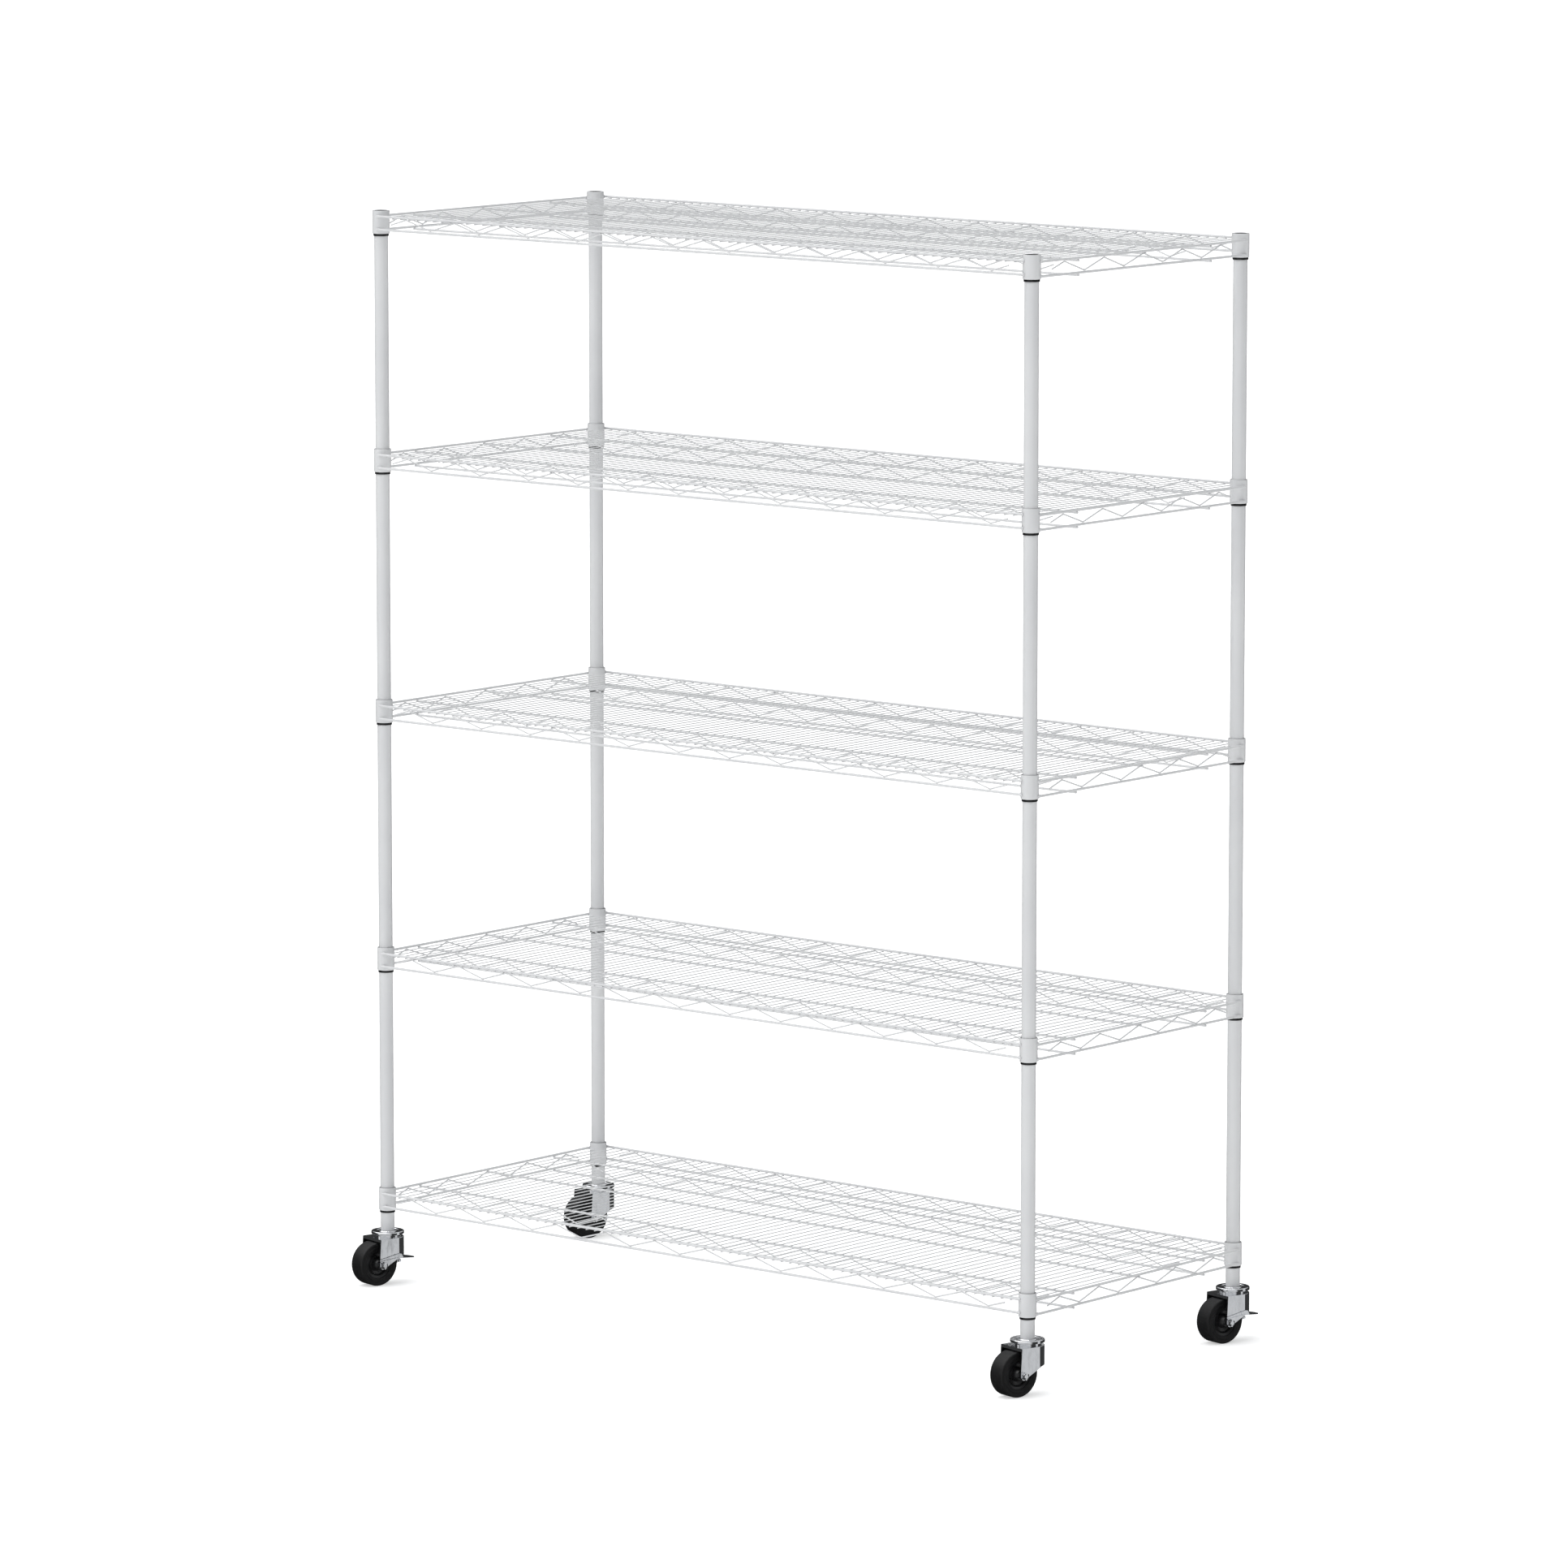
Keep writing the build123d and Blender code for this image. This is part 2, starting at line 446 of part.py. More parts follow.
with BuildPart() as lever_rivets:
    for side in (-1, 1):
        with BuildSketch(Plane(origin=(BRAKE_PIVOT[0], side * (fork_inside - RIVET_TAIL), BRAKE_PIVOT[1]),
                               x_dir=(1, 0, 0), z_dir=(0, side, 0))):
            Circle(RIVET_RADIUS)
        extrude(amount=arm_outer - fork_inside + RIVET_TAIL)
        with BuildSketch(Plane(origin=(BRAKE_PIVOT[0], side * arm_outer, BRAKE_PIVOT[1]),
                               x_dir=(1, 0, 0), z_dir=(0, side, 0))):
            Circle(RIVET_HEAD_RADIUS)
        extrude(amount=RIVET_HEAD_HEIGHT)
with BuildPart() as lever_bolt:
    with Locations((ADJUSTER_X, 0, ADJUSTER_FOOT + ADJUSTER_HEAD)):
        Cylinder(ADJUSTER_RADIUS, SHOE_Z - ADJUSTER_FOOT - ADJUSTER_HEAD, align=STANDING)
    with BuildSketch(Plane.XY.offset(ADJUSTER_FOOT)):
        with Locations((ADJUSTER_X, 0)):
            RegularPolygon(ADJUSTER_FLATS / 2, 6, major_radius=False)
    extrude(amount=ADJUSTER_HEAD)
with BuildPart() as lever_shoe:
    with Locations((SHOE_FRONT, 0, SHOE_Z)):
        Box(SHOE_LENGTH, SHOE_WIDTH, SHOE_SHEET, align=(Align.MIN, Align.CENTER, Align.MIN))
    with Locations((SHOE_FRONT + SHOE_LENGTH - SHOE_SHEET, 0, SHOE_Z - SHOE_DROP)):
        Box(SHOE_SHEET, SHOE_WIDTH, SHOE_DROP, align=(Align.MIN, Align.CENTER, Align.MIN))

# ---------------------------------------------------------------- casters in their places
for corner, (x, y) in POSTS.items():
    place = [Location((x, y, 0), (0, 0, CASTER_HEADING))]
    braked = corner in BRAKED_CORNERS
    placed(stem.part, place, f"caster_stem_{corner}")
    placed(braked_fork.part if braked else fork.part, place, f"caster_fork_{corner}")
    placed([axle.part, axle_nut.part, axle_bush.part], place, f"caster_axle_{corner}")
    placed(hub.part, place, f"wheel_hub_{corner}")
    placed(tyre.part, place, f"tyre_{corner}")
    if braked:
        placed([lever.part, lever_rivets.part, lever_bolt.part, lever_shoe.part], place,
               f"brake_lever_{corner}")
placed(balls.part, post_places, "swivel_balls")
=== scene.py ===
"""Looks of a five-tier wire shelving rack on swivel casters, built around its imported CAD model.

Everything is in metres in the frame of the CAD model: origin on the floor under the middle of the
rack, +X along the shelves, +Y towards the back, +Z up.
"""
import logging
import math
from dataclasses import dataclass, field
from enum import Enum
from typing import Callable, Optional, Sequence

import bpy
from mathutils import Matrix, Vector


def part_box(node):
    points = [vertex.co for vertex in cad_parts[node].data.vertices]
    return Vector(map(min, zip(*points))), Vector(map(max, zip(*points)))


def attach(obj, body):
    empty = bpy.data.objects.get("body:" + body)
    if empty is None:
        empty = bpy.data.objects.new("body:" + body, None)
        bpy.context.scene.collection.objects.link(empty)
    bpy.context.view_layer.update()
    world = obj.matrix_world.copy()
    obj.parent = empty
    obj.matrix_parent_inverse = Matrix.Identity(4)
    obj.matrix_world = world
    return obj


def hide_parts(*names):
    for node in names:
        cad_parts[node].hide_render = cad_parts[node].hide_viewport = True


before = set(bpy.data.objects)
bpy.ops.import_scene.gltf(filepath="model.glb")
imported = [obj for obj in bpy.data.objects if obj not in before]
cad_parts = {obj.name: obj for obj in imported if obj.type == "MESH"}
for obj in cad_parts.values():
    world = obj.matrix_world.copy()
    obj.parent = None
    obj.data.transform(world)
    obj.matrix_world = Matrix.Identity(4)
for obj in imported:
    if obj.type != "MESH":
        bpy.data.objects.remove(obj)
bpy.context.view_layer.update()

log = logging.getLogger("rack")

CORNERS = ("front_left", "front_right", "back_left", "back_right")
BRAKED_CORNERS = ("front_left", "back_right")
TIERS = (1, 2, 3, 4, 5)
MM = 0.001
UPRIGHT = 0.9
WELD_DISTANCE = 1e-6


class Axis(Enum):
    """Direction in which a straight piece is laid."""

    X = (0.0, math.pi / 2, 0.0)
    Y = (math.pi / 2, 0.0, 0.0)
    Z = (0.0, 0.0, 0.0)


# ------------------------------------------------------------------------------------------------
# Shader maths
# ------------------------------------------------------------------------------------------------
class Signal:
    """A number that varies from place to place: a node's socket with arithmetic on it."""

    def __init__(self, graph: "Graph", socket: bpy.types.NodeSocket) -> None:
        """Wrap one output socket of a node graph."""
        self.graph = graph
        self.socket = socket

    def _math(self, operation: str, *values: object) -> "Signal":
        """Add one Math node and return its result."""
        return self.graph.node("ShaderNodeMath", {"operation": operation}, dict(enumerate(values)))

    def __add__(self, other: object) -> "Signal":
        """Sum of two signals or of a signal and a number."""
        return self._math("ADD", self, other)

    def __radd__(self, other: object) -> "Signal":
        """Sum with the number first."""
        return self._math("ADD", other, self)

    def __sub__(self, other: object) -> "Signal":
        """Difference."""
        return self._math("SUBTRACT", self, other)

    def __mul__(self, other: object) -> "Signal":
        """Product."""
        return self._math("MULTIPLY", self, other)

    def __rmul__(self, other: object) -> "Signal":
        """Product with the number first."""
        return self._math("MULTIPLY", other, self)

    def or_brighter(self, other: "Signal") -> "Signal":
        """The larger of two signals."""
        return self._math("MAXIMUM", self, other)

    def between(self, low: float, high: float) -> "Signal":
        """Stretch a range of this signal to 0 and 1, clamped.

        Args:
            low: value that becomes 0.
            high: value that becomes 1.

        Returns:
            The clamped signal.
        """
        return self.graph.node(
            "ShaderNodeMapRange", {"clamp": True}, {"Value": self, "From Min": low, "From Max": high}
        )


class Graph:
    """A node tree that signals are added to."""

    def __init__(self, tree: bpy.types.NodeTree) -> None:
        """Wrap the node tree of a material or of the world."""
        self.tree = tree

    def node(
        self,
        kind: str,
        settings: Optional[dict] = None,
        inputs: Optional[dict] = None,
        output: object = 0,
    ) -> Signal:
        """Add any node.

        Args:
            kind: the type of node.
            settings: attributes that are set first.
            inputs: values or signals by socket name or number.
            output: name or number of the socket to return.

        Returns:
            The chosen output as a signal.
        """
        made = self.tree.nodes.new(kind)
        for key, value in (settings or {}).items():
            setattr(made, key, value)
        for key, value in (inputs or {}).items():
            if isinstance(value, Signal):
                self.tree.links.new(value.socket, made.inputs[key])
            else:
                made.inputs[key].default_value = value
        return Signal(self, made.outputs[output])


class Shader(Graph):
    """One material and its node tree."""

    def __init__(self, name: str) -> None:
        """Start a material with an empty Principled surface."""
        self.material = bpy.data.materials.new(name)
        self.material.use_nodes = True
        super().__init__(self.material.node_tree)
        self.surface = self.tree.nodes["Principled BSDF"]
        self.place = self.node("ShaderNodeTexCoord", output="Object")

    def noise(self, size: float, detail: float = 2.0, stretch: Sequence[float] = (1, 1, 1)) -> Signal:
        """Noise over the piece.

        Args:
            size: size of a patch in metres.
            detail: octaves of finer noise on top.
            stretch: how much longer the patches are along each axis.

        Returns:
            A signal between 0 and 1.
        """
        scale = [1.0 / (size * s) for s in stretch]
        spot = self.node("ShaderNodeMapping", None, {"Vector": self.place, "Scale": scale})
        return self.node("ShaderNodeTexNoise", None, {"Vector": spot, "Scale": 1.0, "Detail": detail})

    def blend(self, mask: Signal, first: Sequence[float], second: Sequence[float]) -> Signal:
        """Mix two colours by a mask."""
        return self.node(
            "ShaderNodeMix",
            {"data_type": "RGBA"},
            {0: mask, 6: (*first, 1.0), 7: (*second, 1.0)},
            output=2,
        )

    def drive(self, socket: str, signal: Signal) -> None:
        """Feed one input of the surface."""
        self.tree.links.new(signal.socket, self.surface.inputs[socket])

    def set(self, **constants: object) -> None:
        """Set inputs of the surface that are the same all over; underscores stand for spaces."""
        for key, value in constants.items():
            self.surface.inputs[key.replace("_", " ")].default_value = value

    def relief(self, height: Signal, depth: float, strength: float = 1.0) -> None:
        """Raise the surface by a height signal, depth in metres."""
        bump = self.node("ShaderNodeBump", None, {"Height": height, "Distance": depth,
                                                  "Strength": strength}, output="Normal")
        self.drive("Normal", bump)


# ------------------------------------------------------------------------------------------------
# Finishes
# ------------------------------------------------------------------------------------------------
@dataclass(frozen=True)
class PowderCoat:
    """White baked powder coat: a smooth shell with faint orange peel."""

    white: tuple[float, float, float] = (0.66, 0.665, 0.67)
    shade: tuple[float, float, float] = (0.615, 0.62, 0.63)
    roughness: float = 0.34
    peel_size: float = 1.6 * MM
    patch_size: float = 160 * MM
    peel_depth: float = 0.02 * MM

    def make(self) -> bpy.types.Material:
        """Build the material."""
        shader = Shader("white_powder_coat")
        patches = shader.noise(self.patch_size, 3.0)
        peel = shader.noise(self.peel_size, 1.0)
        shader.drive("Base Color", shader.blend(patches.between(0.35, 0.7), self.white, self.shade))
        shader.drive("Roughness", self.roughness + 0.10 * (patches - 0.5) + 0.08 * (peel - 0.5))
        shader.relief(peel, self.peel_depth, 0.6)
        shader.set(Specular_IOR_Level=0.5, Coat_Roughness=0.12, Coat_IOR=1.5, Coat_Weight=0.25)
        return shader.material


@dataclass(frozen=True)
class Chrome:
    """Bright nickel-chrome plate on pressed steel, with faint wipe marks."""

    name: str = "bright_chrome"
    metal: tuple[float, float, float] = (0.80, 0.81, 0.83)
    dull: tuple[float, float, float] = (0.66, 0.665, 0.68)
    roughness: float = 0.05
    smear_size: float = 7 * MM
    pit_size: float = 0.9 * MM
    pit_depth: float = 0.006 * MM

    def make(self) -> bpy.types.Material:
        """Build the material."""
        shader = Shader(self.name)
        smear = shader.noise(self.smear_size, 4.0, (1.0, 1.0, 2.5))
        pits = shader.noise(self.pit_size, 2.0)
        shader.drive("Base Color", shader.blend(smear.between(0.45, 0.8), self.metal, self.dull))
        shader.drive("Roughness", self.roughness + 0.09 * smear.between(0.4, 0.9))
        shader.relief(pits, self.pit_depth, 0.5)
        shader.set(Metallic=1.0)
        return shader.material


@dataclass(frozen=True)
class BlackPlastic:
    """Moulded black plastic with a fine spark-eroded texture."""

    name: str = "black_plastic"
    dark: tuple[float, float, float] = (0.007, 0.007, 0.0075)
    worn: tuple[float, float, float] = (0.018, 0.018, 0.019)
    roughness: float = 0.42
    grain_size: float = 0.7 * MM
    grain_depth: float = 0.02 * MM
    scuff_size: float = 14 * MM

    def make(self) -> bpy.types.Material:
        """Build the material."""
        shader = Shader(self.name)
        grain = shader.noise(self.grain_size, 2.0)
        scuffs = shader.noise(self.scuff_size, 4.0)
        shader.drive("Base Color", shader.blend(scuffs.between(0.5, 0.85), self.dark, self.worn))
        shader.drive("Roughness", self.roughness + 0.18 * (scuffs - 0.5))
        shader.relief(grain, self.grain_depth, 0.6)
        return shader.material


@dataclass(frozen=True)
class TyreRubber:
    """Hard black rubber: matt, a little dusty on the tread."""

    fresh: tuple[float, float, float] = (0.006, 0.006, 0.0065)
    dusty: tuple[float, float, float] = (0.016, 0.0155, 0.015)
    roughness: float = 0.48
    dust_size: float = 6 * MM
    grain_size: float = 0.5 * MM
    grain_depth: float = 0.03 * MM

    def make(self) -> bpy.types.Material:
        """Build the material."""
        shader = Shader("black_tyre")
        dust = shader.noise(self.dust_size, 5.0)
        grain = shader.noise(self.grain_size, 2.0)
        shader.drive("Base Color", shader.blend(dust.between(0.5, 0.9), self.fresh, self.dusty))
        shader.drive("Roughness", self.roughness + 0.25 * (dust - 0.4))
        shader.relief(grain, self.grain_depth, 0.7)
        shader.set(Specular_IOR_Level=0.3)
        return shader.material


# ------------------------------------------------------------------------------------------------
# Bench tools
# ------------------------------------------------------------------------------------------------
class Bench:
    """Modelling moves used on every piece."""

    @staticmethod
    def clear() -> None:
        """Leave object mode with nothing selected."""
        if bpy.context.object and bpy.context.object.mode != "OBJECT":
            bpy.ops.object.mode_set(mode="OBJECT")
        bpy.ops.object.select_all(action="DESELECT")

    @staticmethod
    def pick(*pieces: bpy.types.Object) -> None:
        """Select these pieces alone, the first one active."""
        Bench.clear()
        for piece in pieces:
            piece.select_set(True)
        bpy.context.view_layer.objects.active = pieces[0]

    @staticmethod
    def settle(piece: bpy.types.Object) -> bpy.types.Object:
        """Move a piece's place into its mesh, so that its object sits at the origin."""
        Bench.pick(piece)
        bpy.ops.object.transform_apply(location=True, rotation=True, scale=True)
        return piece

    @staticmethod
    def cylinder(
        name: str, radius: float, depth: float, centre: Sequence[float], axis: Axis = Axis.Z,
        sides: int = 48,
    ) -> bpy.types.Object:
        """Add a cylinder at its size and place.

        Args:
            name: name of the piece.
            radius: radius in metres.
            depth: length along the axis.
            centre: middle of the cylinder.
            axis: direction in which it is laid.
            sides: faces around it.

        Returns:
            The new piece, at the origin with its place in its mesh.
        """
        Bench.clear()
        bpy.ops.mesh.primitive_cylinder_add(
            vertices=sides, radius=radius, depth=depth, location=centre, rotation=axis.value
        )
        piece = bpy.context.object
        piece.name = name
        return Bench.settle(piece)

    @staticmethod
    def edit(piece: bpy.types.Object, mode: str = "FACE") -> None:
        """Open a piece in edit mode with nothing selected."""
        Bench.pick(piece)
        bpy.ops.object.mode_set(mode="EDIT")
        bpy.ops.mesh.select_mode(type=mode)
        bpy.ops.mesh.select_all(action="DESELECT")

    @staticmethod
    def select(piece: bpy.types.Object, kind: str, test: Callable) -> None:
        """Select the faces, edges or points of a piece in edit mode that pass a test.

        Args:
            piece: piece in edit mode.
            kind: polygons, edges or vertices.
            test: takes one element and the mesh, and says whether to select it.
        """
        bpy.ops.object.mode_set(mode="OBJECT")
        mesh = piece.data
        for element in getattr(mesh, kind):
            element.select = bool(test(element, mesh))
        bpy.ops.object.mode_set(mode="EDIT")

    @staticmethod
    def open_ends(tube: bpy.types.Object) -> None:
        """Delete the two end faces of an upright cylinder."""
        Bench.edit(tube)
        Bench.select(tube, "polygons", lambda face, mesh: abs(face.normal.z) > UPRIGHT)
        bpy.ops.mesh.delete(type="FACE")
        bpy.ops.object.mode_set(mode="OBJECT")

    @staticmethod
    def modify(piece: bpy.types.Object, kind: str, **settings: object) -> None:
        """Add a modifier, set it and apply it."""
        Bench.pick(piece)
        modifier = piece.modifiers.new(kind.lower(), kind)
        for key, value in settings.items():
            setattr(modifier, key, value)
        bpy.ops.object.modifier_apply(modifier=modifier.name)

    @staticmethod
    def smooth(piece: bpy.types.Object, degrees: float = 35.0) -> None:
        """Shade smooth over every edge that turns less than an angle."""
        Bench.pick(piece)
        bpy.ops.object.shade_smooth_by_angle(angle=math.radians(degrees))

    @staticmethod
    def lathe(name: str, outline: Sequence[tuple[float, float]], sides: int = 72) -> bpy.types.Object:
        """Turn a closed outline about the Z axis, as on a lathe.

        Args:
            name: name of the piece.
            outline: corners of the section as (radius, height) in millimetres.
            sides: faces around the axis.

        Returns:
            The turned piece.
        """
        corners = [Vector((radius * MM, 0.0, height * MM)) for radius, height in outline]
        Bench.clear()
        bpy.ops.mesh.primitive_plane_add(size=MM, location=corners[0])
        piece = bpy.context.object
        piece.name = name
        Bench.settle(piece)
        bpy.ops.object.mode_set(mode="EDIT")
        bpy.ops.mesh.select_mode(type="VERT")
        bpy.ops.mesh.select_all(action="SELECT")
        bpy.ops.mesh.merge(type="CENTER")
        for here, there in zip(corners, [*corners[1:], corners[0]]):
            bpy.ops.mesh.extrude_region_move(TRANSFORM_OT_translate={"value": there - here})
        bpy.ops.mesh.select_all(action="SELECT")
        bpy.ops.mesh.spin(steps=sides, angle=2 * math.pi, center=(0, 0, 0), axis=(0, 0, 1))
        bpy.ops.object.mode_set(mode="OBJECT")
        Bench.outward(piece)
        Bench.smooth(piece, 32)
        return piece

    @staticmethod
    def outward(piece: bpy.types.Object) -> None:
        """Merge doubled points and turn every face outwards."""
        Bench.edit(piece, "VERT")
        bpy.ops.mesh.select_all(action="SELECT")
        bpy.ops.mesh.remove_doubles(threshold=WELD_DISTANCE)
        bpy.ops.mesh.normals_make_consistent(inside=False)
        bpy.ops.object.mode_set(mode="OBJECT")

    @staticmethod
    def copy(piece: bpy.types.Object, name: str, place: Matrix) -> bpy.types.Object:
        """Copy a piece with its own mesh, moved by a place matrix."""
        twin = piece.copy()
        twin.data = piece.data.copy()
        twin.name = name
        twin.data.transform(place)
        bpy.context.scene.collection.objects.link(twin)
        return twin

    @staticmethod
    def join(name: str, pieces: Sequence[bpy.types.Object]) -> bpy.types.Object:
        """Join pieces into one."""
        Bench.pick(*pieces)
        if len(pieces) > 1:
            bpy.ops.object.join()
        joined = bpy.context.object
        joined.name = name
        return joined

    @staticmethod
    def discard(*pieces: bpy.types.Object) -> None:
        """Remove master pieces that were only copied from."""
        for piece in pieces:
            bpy.data.objects.remove(piece)

    @staticmethod
    def wire(
        name: str, radius: float, length: float, centre: Sequence[float], axis: Axis, sides: int,
    ) -> bpy.types.Object:
        """A straight cut wire whose cropped ends are slightly rounded.

        Args:
            name: name of the piece.
            radius: radius of the wire.
            length: length from end to end.
            centre: middle of the wire.
            axis: direction in which it runs.
            sides: faces around it.

        Returns:
            The wire.
        """
        piece = Bench.cylinder(name, radius, length, centre, axis, sides)
        Bench.edit(piece)
        Bench.select(piece, "polygons", lambda face, mesh: len(face.vertices) == sides and sides > 4)
        bpy.ops.mesh.inset(thickness=0.35 * radius, depth=0.25 * radius)
        bpy.ops.object.mode_set(mode="OBJECT")
        return piece


def hand_over(
    piece: bpy.types.Object, material: bpy.types.Material, body: str, node: str = "",
) -> None:
    """Dress a finished piece and put it on its body of the frame.

    Args:
        piece: the finished piece.
        material: its finish.
        body: the moving body that carries it.
        node: the CAD node it stands in for, if there is one.
    """
    piece.data.materials.clear()
    piece.data.materials.append(material)
    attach(piece, body)
    if node:
        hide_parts(node)
    log.info("%s: %d faces", piece.name, len(piece.data.polygons))


@dataclass
class WireBender:
    """Feeds and bends a wire in the upright plane through the X axis, like a bending machine."""

    name: str
    radius: float
    bend_radius: float
    sides: int = 8
    bend_steps: int = 3

    def bend_through(self, corners: Sequence[tuple[float, float]]) -> bpy.types.Object:
        """Bend one wire along a line of corners.

        Args:
            corners: (distance along X, height) of each corner and of both ends.

        Returns:
            The closed wire.
        """
        points = [Vector((x, 0.0, z)) for x, z in corners]
        runs = [b - a for a, b in zip(points, points[1:])]
        Bench.clear()
        pitch = math.atan2(runs[0].z, runs[0].x)
        bpy.ops.mesh.primitive_circle_add(
            vertices=self.sides, radius=self.radius, fill_type="NGON", location=points[0],
            rotation=(0.0, math.pi / 2 - pitch, 0.0),
        )
        piece = bpy.context.object
        piece.name = self.name
        Bench.settle(piece)
        Bench.pick(piece)
        bpy.ops.object.mode_set(mode="EDIT")
        bpy.ops.mesh.select_mode(type="FACE")
        bpy.ops.mesh.select_all(action="SELECT")
        here = points[0]
        for run, following, corner in zip(runs, runs[1:], points[1:]):
            turn = run.angle(following) * (1 if run.cross(following).y < 0 else -1)
            tangent = self.bend_radius * math.tan(abs(turn) / 2)
            self._feed(corner - run.normalized() * tangent - here)
            inward = Vector((-run.z, 0.0, run.x)).normalized() * math.copysign(1, turn)
            centre = corner - run.normalized() * tangent + inward * self.bend_radius
            bpy.ops.mesh.spin(
                steps=self.bend_steps, angle=abs(turn), center=centre,
                axis=(0.0, math.copysign(1, turn), 0.0),
            )
            here = corner + following.normalized() * tangent
        self._feed(points[-1] - here)
        bpy.ops.object.mode_set(mode="OBJECT")
        Bench.outward(piece)
        return piece

    @staticmethod
    def _feed(step: Vector) -> None:
        """Push the wire's open end on by one step."""
        bpy.ops.mesh.extrude_region_move(TRANSFORM_OT_translate={"value": step})


# ------------------------------------------------------------------------------------------------
# Shelf
# ------------------------------------------------------------------------------------------------
@dataclass(frozen=True)
class ShelfSizes:
    """Wire gauges and heights of one shelf, counted from its reference height."""

    rail: float = 2.2 * MM
    support: float = 2.0 * MM
    snake: float = 1.3 * MM
    deck: float = 0.9 * MM
    collar: float = 15.5 * MM
    collar_foot: float = 2.0 * MM
    collar_top: float = 43.5 * MM
    collar_wall: float = 1.7 * MM
    sleeve_foot: float = -2.2 * MM
    sleeve_top: float = 42.3 * MM
    long_top: float = 33.7 * MM
    long_foot: float = 10.0 * MM
    side_foot: float = 6.75 * MM
    deck_height: float = 30.6 * MM
    support_top: float = 27.7 * MM
    side_top: float = 31.9 * MM
    support_foot: float = 2.55 * MM
    support_y: float = 185.5 * MM
    rail_end_gap: float = 4.0 * MM
    deck_wires: int = 76
    snake_bend: float = 3.0 * MM
    stub: float = 0.62
    long_first: float = -669.5 * MM
    long_pitch: float = 116.6 * MM
    long_bends: int = 24
    side_first: float = -218.6 * MM
    side_pitch: float = 109.3 * MM
    side_bends: int = 9
    right_shift: float = -5.0 * MM
    end_wire_gap: float = 0.2 * MM
    sleeve: float = 13.95 * MM
    sleeve_wall: float = 0.8 * MM
    sleeve_taper: float = 0.955
    half_slit: float = 0.3 * MM
    bead: tuple[float, float, float] = (4.2 * MM, 1.5 * MM, 2.9 * MM)
    bead_back: float = 8.0 * MM
    bead_out: float = 14.9 * MM


